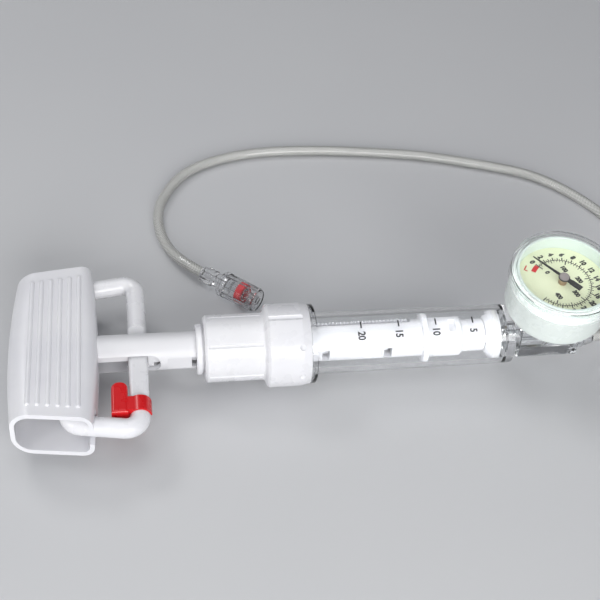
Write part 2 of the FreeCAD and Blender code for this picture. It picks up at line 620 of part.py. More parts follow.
# ---------------------------------------------------------------- gauge, built along its own Z
GL, CR, LR, LT = D["case_low"], D["case_rad"], D["lens_rad"], D["lens_top"]
b = body("gauge_case", GAUGE)
edge = [math.radians(18.0 * i) for i in range(6)]
revolve(b, [(3.6, GL)] + [(CR - 3.2 + 3.2 * math.sin(t_), GL + 3.2 - 3.2 * math.cos(t_)) for t_ in edge] + [
    (CR, LT - 3.2), (CR - 1.15, LT - 3.2), (CR - 1.15, 30.0), (CR - 1.6, 30.0), (CR - 1.6, GL + 3.2), (CR - 2.2, GL + 2.1), (CR - 2.7, GL + 1.9), (3.6, GL + 1.9)],
    axis="Z")
b = body("gauge_lens", GAUGE)
revolve(b, [
    (0, LT - 0.9), (LR - 2.0, LT - 0.9), (LR - 2.0, LT - 3.0), (LR - 1.15, LT - 3.0), (LR - 1.15, LT - 6.4), (LR - 0.25, LT - 6.4), (LR, LT - 6.1),
    (LR, LT - 0.5), (LR - 0.15, LT - 0.15), (LR - 0.5, LT), (0, LT)], axis="Z")
b = body("dial_surround", GAUGE)
revolve(b, [
    (17.4, 30.05), (CR - 1.2, 30.05), (CR - 1.2, 31.0), (CR - 1.3, 31.0), (CR - 1.3, LT - 1.2), (CR - 1.45, LT - 1.0), (CR - 2.2, LT - 1.0), (CR - 2.3, LT - 1.15), (CR - 2.15, 30.9), (17.4, 30.9)], axis="Z")
doc.recompute()
b = body("dial_plate", GAUGE)
revolve(b, [(1.0, D["dial_level"] - 0.55), (D["dial_rad"], D["dial_level"] - 0.55), (D["dial_rad"], D["dial_level"]), (1.0, D["dial_level"])], axis="Z")

b = body("gauge_stem", GAUGE)
revolve(b, [
    (0.8, 6.4), (2.6, 6.4), (3.0, 6.8), (3.0, GL - 0.1), (3.5, GL - 0.1), (3.5, GL + 2.0), (5.6, GL + 2.0), (5.6, GL + 3.6), (2.0, GL + 3.6), (2.0, GL + 5.2), (0.8, GL + 5.2)],
    axis="Z")
b = body("stem_seal", GAUGE)
revolve(b, [(3.05, GL - 2.5), (4.35, GL - 2.5), (4.35, GL - 1.0), (3.05, GL - 1.0)], axis="Z")

g0 = D["case_low"].v
# socket arm and coiled pressure spring (Bourdon tube)
arm = Part.makeBox(15.8, 5.0, 2.4, V(-17.2, -2.5, g0 + 2.1)).cut(Part.makeCylinder(5.65, 6, V(0, 0, g0 + 1), V(0, 0, 1)))
post = Part.makeBox(3.2, 5.0, 8.6, V(-17.2, -2.5, g0 + 2.1))
sock = arm.fuse(post)
sock = sock.cut(Part.makeBox(1.3, 3.2, 4.7, V(-16.15, -0.6, g0 + 4.5)))
shape_node("tube_socket", sock.removeSplitter(), GAUGE)
ro_, ri_ = 16.05, 15.15
oval = Part.Face(Part.makePolygon([V(-ro_, 0, g0 + 4.6), V(-ro_, 0, g0 + 9.0), V(-ri_, 0, g0 + 9.0), V(-ri_, 0, g0 + 4.6), V(-ro_, 0, g0 + 4.6)]))
cb = oval.revolve(V(0, 0, 0), V(0, 0, 1), -268.6)
cb.rotate(V(0, 0, 0), V(0, 0, 1), -3.0)
shape_node("bourdon_tube", cb, GAUGE)

# ---------------------------------------------------------------- movement: plates, gears, pointer
M = 0.4
ZP, ZS = 10, 50
CD = 0.5 * M * (ZP + ZS) + 0.05
SEC_ANG = math.radians(-60.0)
SX, SY = CD * math.cos(SEC_ANG), CD * math.sin(SEC_ANG)
zm = g0 + 5.4


def tooth_ring(z, phase, first, last, rin):
    """Outline of gear teeth first..last of a wheel of z teeth, closed on radius rin."""
    rp = 0.5 * M * z
    ra, rd = rp + 0.32, rp - 0.5
    pts = []
    for k in range(first, last + 1):
        c = phase + 2 * math.pi * k / z
        step = 2 * math.pi / z
        hw_r, hw_t = 0.34 / rd, 0.13 / ra
        pts += [(rd, c - hw_r), (ra, c - hw_t), (ra, c + hw_t), (rd, c + hw_r)]
    full = (last - first + 1) >= z
    if not full:
        a0 = phase + 2 * math.pi * first / z - 0.34 / rd
        a1 = phase + 2 * math.pi * last / z + 0.34 / rd
        m = 24
        pts += [(rin, a1 + (a0 - a1) * i / m) for i in range(m + 1)]
    out = [V(r * math.cos(a), r * math.sin(a), 0) for r, a in pts]
    out.append(out[0])
    return Part.Face(Part.makePolygon(out))


# the sector meshes with the pinion on the line between their centres
pin_dir = SEC_ANG
pinion = tooth_ring(ZP, pin_dir + math.pi / ZP, 0, ZP - 1, 0).extrude(V(0, 0, 2.4))
pinion.translate(V(0, 0, zm + 1.6))
shaft = Part.makeCylinder(0.6, 13.0, V(0, 0, zm + 0.3), V(0, 0, 1))
pinion = pinion.fuse(shaft)
shape_node("pinion_shaft", pinion.removeSplitter(), GAUGE)

back = SEC_ANG + math.pi
first = -9
last = 1
sect = tooth_ring(ZS, back, first, last, 8.2).extrude(V(0, 0, 0.8))
mid_a = back - 2 * math.pi * 4.0 / ZS
spoke = Part.makeBox(9.0, 2.6, 0.8, V(0, -1.3, 0))
spoke.rotate(V(0, 0, 0), V(0, 0, 1), math.degrees(mid_a))
hub = Part.makeCylinder(1.9, 0.8, V(0, 0, 0), V(0, 0, 1))
tail = Part.makeBox(3.2, 1.8, 0.8, V(0, -0.9, 0))
TAIL_A = math.radians(211.0)
tail.rotate(V(0, 0, 0), V(0, 0, 1), math.degrees(TAIL_A))
TX, TY = 2.4 * math.cos(TAIL_A), 2.4 * math.sin(TAIL_A)
sect = sect.multiFuse([spoke, hub, tail])
sect = sect.cut(Part.makeCylinder(0.65, 3, V(0, 0, -1), V(0, 0, 1)))
sect = sect.cut(Part.makeCylinder(0.45, 3, V(TX, TY, -1), V(0, 0, 1)))
sect.translate(V(SX, SY, zm + 2.4))
shape_node("sector_gear", sect.removeSplitter(), GAUGE)

# link from the sector's tail towards the free end of the pressure spring
LNX, LNY = SX + TX, SY + TY
TIP_A = math.radians(180.0 - 3.0 - 268.6)
tip = V(15.6 * math.cos(TIP_A), 15.6 * math.sin(TIP_A), 0)
d = V(tip.x - LNX, tip.y - LNY, 0)
reach = d.Length
d.normalize()
lk = Part.makeBox(reach, 1.1, 0.6, V(0, -0.55, 0)).multiFuse([Part.makeCylinder(0.9, 0.6, V(0, 0, 0), V(0, 0, 1)), Part.makeCylinder(0.9, 0.6, V(reach, 0, 0), V(0, 0, 1))])
lk = lk.fuse(Part.makeCylinder(0.4, 1.6, V(0, 0, -1.6), V(0, 0, 1)))
lk.rotate(V(0, 0, 0), V(0, 0, 1), math.degrees(math.atan2(d.y, d.x)))
lk.translate(V(LNX, LNY, zm + 3.85))
shape_node("sector_link", lk.removeSplitter(), GAUGE)

# lower and upper plates, with posts and the sector's arbor
def plate(z0, t_, holes):
    p = Part.makeBox(13.6, 18.4, t_, V(-5.2, -15.0, z0)).common(Part.makeCylinder(14.4, t_, V(0, 0, z0), V(0, 0, 1)))
    p = p.cut(Part.makeCylinder(0.66, 5, V(0, 0, z0 - 1), V(0, 0, 1)))
    p = p.cut(Part.makeCylinder(0.62, 5, V(SX, SY, z0 - 1), V(0, 0, 1)))
    for x_, y_ in holes:
        p = p.cut(Part.makeCylinder(0.6, 5, V(x_, y_, z0 - 1), V(0, 0, 1)))
    return p


posts = [(-1.4, -12.4), (-3.4, 1.4)]
shape_node("movement_base", plate(zm + 0.2, 0.8, posts), GAUGE)
shape_node("movement_bridge", plate(zm + 5.4, 0.8, posts), GAUGE)
pp = Part.makeCompound([Part.makeCylinder(1.1, 4.4, V(x_, y_, zm + 1.0), V(0, 0, 1)).fuse(Part.makeCylinder(0.59, 6.0, V(x_, y_, zm + 0.2), V(0, 0, 1))) for x_, y_ in posts])
shape_node("movement_posts", pp, GAUGE)
shape_node("sector_arbor", Part.makeCylinder(0.6, 6.0, V(SX, SY, zm + 0.2), V(0, 0, 1)), GAUGE)

# pointer
zpn = D["dial_level"].v + 3.1
REST = math.radians(130.8)
blade = Part.makePolygon([V(2.0, -0.62, 0), V(15.2, -0.16, 0), V(15.2, 0.16, 0), V(2.0, 0.62, 0), V(0, 1.0, 0), V(-3.2, 1.0, 0), V(-3.4, 1.25, 0), V(-8.2, 1.25, 0), V(-8.2, -1.25, 0), V(-3.4, -1.25, 0), V(-3.2, -1.0, 0), V(0, -1.0, 0), V(2.0, -0.62, 0)])
ptr = Part.Face(blade).extrude(V(0, 0, 0.35)).fuse(Part.makeCylinder(2.3, 0.35, V(0, 0, 0), V(0, 0, 1)))
ptr = ptr.cut(Part.makeCylinder(0.6, 2, V(0, 0, -1), V(0, 0, 1)))
ptr.rotate(V(0, 0, 0), V(0, 0, 1), math.degrees(REST))
ptr.translate(V(0, 0, zpn))
shape_node("pointer", ptr.removeSplitter(), GAUGE)
cap = Part.makeCylinder(2.0, 0.65, V(0, 0, zpn + 0.35), V(0, 0, 1))
cap = cap.makeFillet(0.3, [e for e in cap.Edges if e.BoundBox.ZMin > zpn + 0.9])
boss_ = Part.makeCylinder(1.7, 3.0, V(0, 0, zpn - 3.0), V(0, 0, 1)).cut(Part.makeCylinder(0.6, 5, V(0, 0, zpn - 4), V(0, 0, 1)))
shape_node("pointer_cap", cap, GAUGE)
shape_node("pointer_boss", boss_, GAUGE)

# ---------------------------------------------------------------- pressure tube and luer end
FLOOR = -D["shift_z"].v
TR = D["tube_rad"].v
LZ = FLOOR + D["luer_rad"].v
FZ = FLOOR + TR
LE = V(-38.1, 59.0, LZ)                  # where the tube enters the luer hub
LD = V(0.7467, -0.6652, 0)               # luer axis
LD.normalize()
ROUTE = [
    V(121.5, 0.0, tube_z), V(132.5, 0.0, tube_z), V(145.0, 4.5, -10.4), V(157.5, 13.8, FZ), V(168.0, 28.5, FZ),
    V(172.6, 46.8, FZ), V(170.0, 65.0, FZ), V(163.2, 84.0, FZ), V(152.6, 105.8, FZ), V(133.1, 127.5, FZ), V(105.7, 138.0, FZ),
    V(79.7, 146.6, FZ), V(50.0, 151.3, FZ), V(19.6, 154.5, FZ), V(-11.7, 153.5, FZ), V(-40.5, 142.1, FZ), V(-54.7, 118.1, FZ),
    V(-57.0, 100.0, FZ), V(-53.9, 82.2, FZ + 0.6), LE - LD * 11.0, LE]


def tube_path(pts):
    runs = [(pts[i + 1] - pts[i]).Length for i in range(len(pts) - 1)]
    edges, last_pt = [], pts[0]
    for i in range(1, len(pts) - 1):
        a = pts[i - 1] - pts[i]
        a.normalize()
        c = pts[i + 1] - pts[i]
        c.normalize()
        half = 0.5 * a.getAngle(c)
        t = 0.45 * min(runs[i - 1], runs[i])
        rad = t * math.tan(half)
        bis = a + c
        bis.normalize()
        mid = pts[i] + bis * (rad / math.sin(half) - rad)
        s0, s1 = pts[i] + a * t, pts[i] + c * t
        print("route point %d: turn %.1f deg, radius %.1f mm" % (i, 180 - 2 * math.degrees(half), rad))
        edges.append(Part.LineSegment(last_pt, s0).toShape())
        edges.append(Part.Arc(s0, mid, s1).toShape())
        last_pt = s1
    edges.append(Part.LineSegment(last_pt, pts[-1]).toShape())
    return edges


te = tube_path(ROUTE)
tw = Part.Wire(te)
circ = Part.Wire([Part.makeCircle(TR, ROUTE[0], ROUTE[1] - ROUTE[0])])
tube = tw.makePipeShell([circ], True, False)
print("tube length %.1f mm, volume ratio %.4f" % (tw.Length, tube.Volume / (math.pi * TR * TR * tw.Length)))
shape_node("pressure_tube", tube)

LUER = SHIFT * FreeCAD.Placement(LE, FreeCAD.Rotation(V(1, 0, 0), LD))
b = body("luer_hub", LUER)
revolve(b, [
    (0, 0.9), (0, 3.2), (5.6, 3.5), (6.3, 3.2), (11.6, 3.2), (11.6, 4.3), (14.0, 4.3), (14.0, 3.1), (23.1, 3.1), (23.4, 2.15), (29.6, 1.95), (29.6, 0.9)], axis="X")
pdbox(b, False, (0.5, -4.1, -1.1), (6.0, 4.1, 1.1), "wings")
pdcyl(b, True, 0.9, 7.0, (0.0, 0, 0), "X", "clear_way")
b = body("luer_ring", LUER)
revolve(b, [(20.0, 3.15), (20.0, 4.6), (23.0, 4.6), (23.0, 3.15)], axis="X")
b = body("luer_collar", LUER)
CW = D["luer_rad"]
revolve(b, [
    (10.7, 3.4), (10.7, CW - 0.4), (11.2, CW), (13.4, CW), (14.2, CW - 0.45), (29.0, CW - 0.45), (29.6, CW - 0.8), (29.6, 4.7), (11.5, 4.7), (11.5, 3.4)], axis="X")
rb = pdcyl(b, False, 0.5, 14.0, (14.0, 0, CW - 0.55), "X", "grip_rib")
polar(b, [rb], "X_Axis", 12, "collar_ribs")

doc.recompute()

# tie pin through the rod's front end, inside the stem's recess
shape_node("stem_pin", Part.makeCylinder(1.6, 14.0, V(44.0, -7.0, 0), V(0, 1, 0)).common(Part.makeCylinder(7.3, 20, V(35, 0, 0), V(1, 0, 0))))

doc.recompute()
bad = []
for o in doc.Objects:
    if "Invalid" in o.State or "Error" in o.State:
        bad.append("%s (%s): %s" % (o.Name, o.Label, o.State))
for n in NODES:
    s = n.Shape
    if s.isNull() or not s.isValid() or not s.Solids or s.Volume < 1e-3:
        bad.append("%s: bad shape" % n.Label)
if bad:
    raise RuntimeError("; ".join(bad))
os.makedirs("parts", exist_ok=True)
for n in NODES:
    n.Shape.exportStep("parts/%s.step" % n.Label)
    bb = n.Shape.BoundBox
    print("%-16s solids %d vol %9.2f  x %8.2f %8.2f  y %8.2f %8.2f  z %8.2f %8.2f" % (
        n.Label, len(n.Shape.Solids), n.Shape.Volume, bb.XMin, bb.XMax, bb.YMin, bb.YMax, bb.ZMin, bb.ZMax))
print("nodes:", len(NODES))
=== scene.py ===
import math

import bmesh
import bpy
from mathutils import Matrix, Vector


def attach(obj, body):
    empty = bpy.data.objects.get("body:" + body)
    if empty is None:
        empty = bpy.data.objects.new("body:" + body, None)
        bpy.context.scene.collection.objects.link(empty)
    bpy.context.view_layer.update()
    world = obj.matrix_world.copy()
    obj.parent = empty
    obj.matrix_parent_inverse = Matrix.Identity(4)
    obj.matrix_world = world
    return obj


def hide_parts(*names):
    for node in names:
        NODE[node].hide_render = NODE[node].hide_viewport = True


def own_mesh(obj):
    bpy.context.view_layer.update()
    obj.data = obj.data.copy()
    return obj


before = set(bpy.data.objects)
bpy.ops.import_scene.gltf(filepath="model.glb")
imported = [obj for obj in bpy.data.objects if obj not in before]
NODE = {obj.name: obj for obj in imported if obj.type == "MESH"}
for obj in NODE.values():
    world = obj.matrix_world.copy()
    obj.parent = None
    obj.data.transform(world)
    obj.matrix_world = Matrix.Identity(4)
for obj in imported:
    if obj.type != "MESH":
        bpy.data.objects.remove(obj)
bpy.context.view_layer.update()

MM = 0.001
SHIFT = Vector((-2.1, 0.0, 16.95))          # syringe axis frame to row frame, mm
BORE_AXIS_Z = SHIFT.z


def P(x, y, z):
    """A point given along the syringe axis, in mm, as a row-frame point in metres."""
    return (Vector((x, y, z)) + SHIFT) * MM


# ------------------------------------------------------------------ gauge frame
TILT, LEAN = math.radians(9.0), 0.0
GN = Vector((math.sin(LEAN), -math.sin(TILT) * math.cos(LEAN), math.cos(TILT) * math.cos(LEAN)))
GX = (Vector((1, 0, 0)) - GN * GN.x).normalized()
GY = GN.cross(GX)
GO = Vector((100.3, 0.0, 0.0))
DIAL_LEVEL = 31.5


def G(a, b, s):
    return P(*(GO + GX * a + GY * b + GN * s))


# ------------------------------------------------------------------ materials
class Mat:
    def __init__(self, name):
        self.m = bpy.data.materials.new(name)
        self.m.use_nodes = True
        self.t = self.m.node_tree
        self.t.nodes.clear()
        self.out = self.t.nodes.new("ShaderNodeOutputMaterial")
        self.b = self.t.nodes.new("ShaderNodeBsdfPrincipled")
        self.t.links.new(self.b.outputs[0], self.out.inputs[0])
        self.co = self.t.nodes.new("ShaderNodeTexCoord")

    def link(self, a, b):
        self.t.links.new(a, b)

    def node(self, kind, **kw):
        n = self.t.nodes.new(kind)
        for k, v in kw.items():
            setattr(n, k, v)
        return n

    def noise(self, scale, detail=3.0, rough=0.5, stretch=None):
        n = self.node("ShaderNodeTexNoise")
        n.inputs["Scale"].default_value = scale
        n.inputs["Detail"].default_value = detail
        n.inputs["Roughness"].default_value = rough
        if stretch:
            mp = self.node("ShaderNodeMapping")
            mp.inputs["Scale"].default_value = stretch
            self.link(self.co.outputs["Object"], mp.inputs["Vector"])
            self.link(mp.outputs[0], n.inputs["Vector"])
        else:
            self.link(self.co.outputs["Object"], n.inputs["Vector"])
        return n.outputs["Fac"]

    def span(self, src, lo, hi, f0=0.3, f1=0.7):
        n = self.node("ShaderNodeMapRange")
        n.inputs["From Min"].default_value = f0
        n.inputs["From Max"].default_value = f1
        n.inputs["To Min"].default_value = lo
        n.inputs["To Max"].default_value = hi
        self.link(src, n.inputs["Value"])
        return n.outputs[0]

    def mix(self, src, a, b, lo=0.35, hi=0.65):
        r = self.node("ShaderNodeValToRGB")
        r.color_ramp.elements[0].position = lo
        r.color_ramp.elements[0].color = (*a, 1)
        r.color_ramp.elements[1].position = hi
        r.color_ramp.elements[1].color = (*b, 1)
        self.link(src, r.inputs[0])
        return r.outputs[0]

    def bump(self, src, strength, dist, chain=None):
        n = self.node("ShaderNodeBump")
        n.inputs["Strength"].default_value = strength
        n.inputs["Distance"].default_value = dist
        self.link(src, n.inputs["Height"])
        if chain is not None:
            self.link(chain, n.inputs["Normal"])
        return n.outputs[0]

    def clear_shadow(self, tint):
        """Light passes through on its way to other surfaces, as it does through clear plastic."""
        lp = self.node("ShaderNodeLightPath")
        tr = self.node("ShaderNodeBsdfTransparent")
        tr.inputs["Color"].default_value = (*tint, 1)
        mx = self.node("ShaderNodeMixShader")
        self.link(lp.outputs["Is Shadow Ray"], mx.inputs[0])
        self.link(self.b.outputs[0], mx.inputs[1])
        self.link(tr.outputs[0], mx.inputs[2])
        self.link(mx.outputs[0], self.out.inputs[0])


def moulded(name, a, b, rough=(0.26, 0.38), grain=0.06, sss=0.0, coat=0.0):
    """Injection-moulded plastic: faint colour drift, fine texture and soft flow marks."""
    k = Mat(name)
    k.link(k.mix(k.noise(38.0, 4.0), a, b), k.b.inputs["Base Color"])
    k.link(k.span(k.noise(160.0, 5.0), rough[0], rough[1]), k.b.inputs["Roughness"])
    n1 = k.bump(k.noise(5200.0, 2.0), grain, 0.00002)
    n2 = k.bump(k.noise(70.0, 2.0, stretch=(1.0, 1.0, 0.3)), 0.04, 0.0001, n1)
    k.link(n2, k.b.inputs["Normal"])
    k.b.inputs["IOR"].default_value = 1.49
    if sss:
        k.b.inputs["Subsurface Weight"].default_value = sss
        k.b.inputs["Subsurface Radius"].default_value = (0.9, 0.9, 1.0)
        k.b.inputs["Subsurface Scale"].default_value = 0.0015
    if coat:
        k.b.inputs["Coat Weight"].default_value = coat
        k.b.inputs["Coat Roughness"].default_value = 0.12
    return k.m


def clear(name, tint, ior=1.49, rough=(0.01, 0.05), wave=0.05, shadow=(0.93, 0.94, 0.95)):
    """Clear plastic with slight moulding waves and a little haze."""
    k = Mat(name)
    k.link(k.mix(k.noise(60.0, 3.0), tint, tuple(min(1.0, v * 1.02) for v in tint)), k.b.inputs["Base Color"])
    k.link(k.span(k.noise(240.0, 4.0), rough[0], rough[1]), k.b.inputs["Roughness"])
    k.link(k.bump(k.noise(110.0, 2.0, stretch=(0.35, 1.0, 1.0)), wave, 0.0002), k.b.inputs["Normal"])
    k.b.inputs["Transmission Weight"].default_value = 1.0
    k.b.inputs["IOR"].default_value = ior
    k.clear_shadow(shadow)
    return k.m


def metal(name, a, b, rough=(0.22, 0.4), stretch=(1.0, 12.0, 1.0)):
    k = Mat(name)
    k.link(k.mix(k.noise(120.0, 4.0), a, b), k.b.inputs["Base Color"])
    k.link(k.span(k.noise(900.0, 4.0, stretch=stretch), rough[0], rough[1]), k.b.inputs["Roughness"])
    k.link(k.bump(k.noise(2400.0, 3.0, stretch=stretch), 0.1, 0.00003), k.b.inputs["Normal"])
    k.b.inputs["Metallic"].default_value = 1.0
    return k.m


WHITE = moulded("white_moulded", (0.80, 0.80, 0.83), (0.84, 0.84, 0.86), rough=(0.24, 0.34), grain=0.05, sss=0.12, coat=0.15)
WHITE_GRIP = moulded("white_grip", (0.78, 0.78, 0.815), (0.83, 0.83, 0.855), rough=(0.30, 0.42), grain=0.10, sss=0.12, coat=0.1)
WHITE_INNER = moulded("white_inner", (0.74, 0.74, 0.765), (0.78, 0.78, 0.80), rough=(0.3, 0.42), grain=0.05)
MINT = moulded("gauge_white", (0.775, 0.84, 0.805), (0.80, 0.86, 0.825), rough=(0.22, 0.32), grain=0.04, sss=0.12, coat=0.25)
# same mint-white plastic as the gauge case, made darker for the recessed wall round the dial: painted shade
MINT_PAINTED_SHADE = moulded("dial_surround_painted_shade", (0.60, 0.68, 0.64), (0.63, 0.71, 0.67), rough=(0.3, 0.4), grain=0.04)
RED = moulded("red_moulded", (0.66, 0.004, 0.008), (0.74, 0.008, 0.012), rough=(0.22, 0.34), grain=0.05, coat=0.3)
RED_RING = moulded("red_band", (0.55, 0.012, 0.02), (0.66, 0.02, 0.03), rough=(0.3, 0.45), grain=0.05)
SEAL = moulded("pale_rubber", (0.70, 0.70, 0.69), (0.76, 0.76, 0.75), rough=(0.45, 0.6), grain=0.15)
GREY = moulded("grey_hub", (0.22, 0.19, 0.19), (0.28, 0.25, 0.25), rough=(0.3, 0.45), grain=0.08)
BLACK = moulded("needle_black", (0.012, 0.012, 0.013), (0.022, 0.022, 0.024), rough=(0.35, 0.5), grain=0.06)
INK = moulded("black_ink", (0.010, 0.010, 0.011), (0.02, 0.02, 0.021), rough=(0.4, 0.55), grain=0.05)
INK_RED = moulded("red_ink", (0.52, 0.010, 0.014), (0.60, 0.015, 0.02), rough=(0.4, 0.55), grain=0.05)
DIAL = moulded("dial_paper", (0.72, 0.76, 0.53), (0.76, 0.80, 0.57), rough=(0.5, 0.62), grain=0.12)
CLEAR = clear("clear_barrel", (0.97, 0.975, 0.98))
# manifold tinted darker than the other clear parts to stand in for dark surroundings seen through it: painted shade
CLEAR_BLOCK_PAINTED_SHADE = clear("clear_block_painted_shade", (0.86, 0.875, 0.885), rough=(0.02, 0.08), wave=0.12, shadow=(0.80, 0.81, 0.82))
CLEAR_LENS = clear("clear_lens", (0.975, 0.98, 0.975), rough=(0.01, 0.04), wave=0.03)
CLEAR_LUER = clear("clear_luer", (0.95, 0.95, 0.955), rough=(0.03, 0.12), wave=0.1)
BRASS = metal("brass_machined", (0.70, 0.50, 0.22), (0.80, 0.62, 0.32))
ROSE = metal("boss_dull_brass", (0.42, 0.30, 0.22), (0.52, 0.38, 0.29), rough=(0.35, 0.5))
BRONZE = metal("bronze_drawn", (0.62, 0.38, 0.18), (0.72, 0.48, 0.26))
STEEL = metal("steel_bright", (0.60, 0.60, 0.62), (0.70, 0.70, 0.72))


def dress(name, mat):
    o = NODE[name]
    if not o.material_slots:
        o.data.materials.append(mat)
    for s in o.material_slots:
        s.material = mat


for names, mat in (
    (("barrel_nut", "rear_bush", "squeeze_bar", "piston", "piston_stem"), WHITE),
    (("plunger_rod", "release_slide", "toothed_half", "half_nut"), WHITE_INNER),
    (("grip_shell",), WHITE_GRIP),
    (("gauge_case",), MINT), (("dial_surround",), MINT_PAINTED_SHADE),
    (("lock_clip",), RED), (("luer_ring",), RED_RING),
    (("piston_seal", "stem_seal"), SEAL),
    (("dial_plate",), DIAL),
    (("pointer",), BLACK), (("pointer_cap",), GREY),
    (("barrel",), CLEAR), (("manifold",), CLEAR_BLOCK_PAINTED_SHADE), (("gauge_lens",), CLEAR_LENS),
    (("luer_hub", "luer_collar", "outlet_fitting"), CLEAR_LUER),
    (("gauge_stem", "tube_socket", "movement_base", "movement_bridge", "sector_gear", "sector_link"), BRASS),
    (("pointer_boss",), ROSE),
    (("bourdon_tube",), BRONZE),
    (("movement_posts", "sector_arbor", "pinion_shaft", "flange_screws", "draw_pins", "stem_pin", "return_spring", "tooth_springs"), STEEL),
):
    for nm in names:
        dress(nm, mat)


# ------------------------------------------------------------------ small mesh tools
def new_mesh(name, verts, faces, mat, body):
    me = bpy.data.meshes.new(name)
    me.from_pydata([tuple(v) for v in verts], [], faces)
    me.update()
    o = bpy.data.objects.new(name, me)
    bpy.context.scene.collection.objects.link(o)
    me.materials.append(mat)
    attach(o, body)
    return o


def text_outline(body, size, squeeze=0.86, weight=0.07):
    """Vertices and faces of a line of figures, centred, in text units scaled to size."""
    cu = bpy.data.curves.new("figures", "FONT")
    cu.body = body
    cu.size = size
    cu.align_x = "CENTER"
    cu.align_y = "CENTER"
    cu.offset = size * weight
    cu.resolution_u = 4
    cu.space_character = 0.96
    tmp = bpy.data.objects.new("figures", cu)
    bpy.context.scene.collection.objects.link(tmp)
    dg = bpy.context.evaluated_depsgraph_get()
    me = bpy.data.meshes.new_from_object(tmp.evaluated_get(dg))
    vs = [Vector((v.co.x * squeeze, v.co.y, 0)) for v in me.vertices]
    fs = [list(p.vertices) for p in me.polygons]
    bpy.data.objects.remove(tmp)
    bpy.data.curves.remove(cu)
    bpy.data.meshes.remove(me)
    # centre on the ink rather than on the line box
    if vs:
        cx = 0.5 * (min(v.x for v in vs) + max(v.x for v in vs))
        cy = 0.5 * (min(v.y for v in vs) + max(v.y for v in vs))
        vs = [Vector((v.x - cx, v.y - cy, 0)) for v in vs]
    return vs, fs


class Ink:
    """Collects flat marks in a plane, each a list of points and faces."""

    def __init__(self):
        self.v, self.f = [], []

    def add(self, vs, fs):
        k = len(self.v)
        self.v += vs
        self.f += [[i + k for i in f] for f in fs]

    def quad(self, a, b, c, d):
        self.add([a, b, c, d], [[0, 1, 2, 3]])

    def arc(self, r0, r1, a0, a1, n):
        for i in range(n):
            p, q = a0 + (a1 - a0) * i / n, a0 + (a1 - a0) * (i + 1) / n
            self.quad(*[Vector((r * math.cos(t), r * math.sin(t), 0)) for r, t in ((r0, p), (r1, p), (r1, q), (r0, q))])

    def spoke(self, r0, r1, a, w):
        d = Vector((math.cos(a), math.sin(a), 0))
        n = Vector((-d.y, d.x, 0)) * (w / 2)
        self.quad(d * r0 - n, d * r1 - n, d * r1 + n, d * r0 + n)


def solid_marks(name, ink, place, thick, mat, body):
    """Turns flat marks into a thin printed layer; place(x, y, h) gives the row-frame point."""
    bm = bmesh.new()
    top = [bm.verts.new(place(v.x, v.y, thick)) for v in ink.v]
    for f in ink.f:
        try:
            bm.faces.new([top[i] for i in f])
        except ValueError:
            pass
    bmesh.ops.remove_doubles(bm, verts=bm.verts, dist=1e-8)
    bmesh.ops.recalc_face_normals(bm, faces=bm.faces)
    me = bpy.data.meshes.new(name)
    bm.to_mesh(me)
    bm.free()
    o = bpy.data.objects.new(name, me)
    bpy.context.scene.collection.objects.link(o)
    me.materials.append(mat)
    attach(o, body)
    return o


# ------------------------------------------------------------------ dial artwork
def dial_at(x, y, h):
    return G(x, y, DIAL_LEVEL + h)


ATM0, ATM_STEP = math.radians(130.4), math.radians(-9.0)
UPRIGHT = math.radians(-68.0)
PSI_STEP = math.radians(-61.4 / 100.0)
RA = 11.65
ink = Ink()
ink.arc(RA - 0.14, RA + 0.14, ATM0, ATM0 + 30 * ATM_STEP, 120)
for i in range(61):
    a = ATM0 + 0.5 * i * ATM_STEP
    if i % 4 == 0:
        ink.spoke(RA, RA + 1.5, a, 0.46)
    elif i % 2 == 0:
        ink.spoke(RA, RA + 1.15, a, 0.36)
    else:
        ink.spoke(RA, RA + 0.75, a, 0.24)
for i in range(45):
    a = ATM0 + 10 * i * PSI_STEP
    if i % 10 == 0:
        ink.spoke(RA - 2.0, RA, a, 0.44)
    elif i % 5 == 0:
        ink.spoke(RA - 1.45, RA, a, 0.32)
    else:
        ink.spoke(RA - 0.95, RA, a, 0.24)


def figures(target, text, size, r, a, turn):
    vs, fs = text_outline(text, size)
    c = Vector((r * math.cos(a), r * math.sin(a), 0))
    rot = Matrix.Rotation(turn, 3, "Z")
    target.add([c + rot @ v for v in vs], fs)


for v in range(0, 31, 2):
    figures(ink, str(v), 3.0, 14.8, ATM0 + v * ATM_STEP, UPRIGHT)
for v in range(0, 500, 100):
    figures(ink, str(v), 2.6, 7.3, ATM0 + v * PSI_STEP, UPRIGHT)
solid_marks("dial_marks", ink, dial_at, 0.03, INK, "syringe")

ink = Ink()
ink.arc(11.2, 13.1, ATM0 + math.radians(1.5), ATM0 + math.radians(19.0), 8)
ink.arc(15.5, 16.0, ATM0 + math.radians(12.0), ATM0 + math.radians(22.0), 5)
ink.arc(14.4, 15.4, ATM0 + math.radians(20.5), ATM0 + math.radians(22.5), 2)
solid_marks("dial_marks_red", ink, dial_at, 0.03, INK_RED, "syringe")


# ------------------------------------------------------------------ barrel scale
def barrel_r(x):
    if x < 2.5:
        return 12.75
    return 12.75 + (12.2 - 12.75) * (x - 2.5) / (84.0 - 2.5)


def barrel_at(x, s, h):
    """x along the axis, s the arc length from the top towards -Y, both in mm."""
    r = barrel_r(x) + h
    psi = s / 12.5
    return P(x, -r * math.sin(psi), r * math.cos(psi))


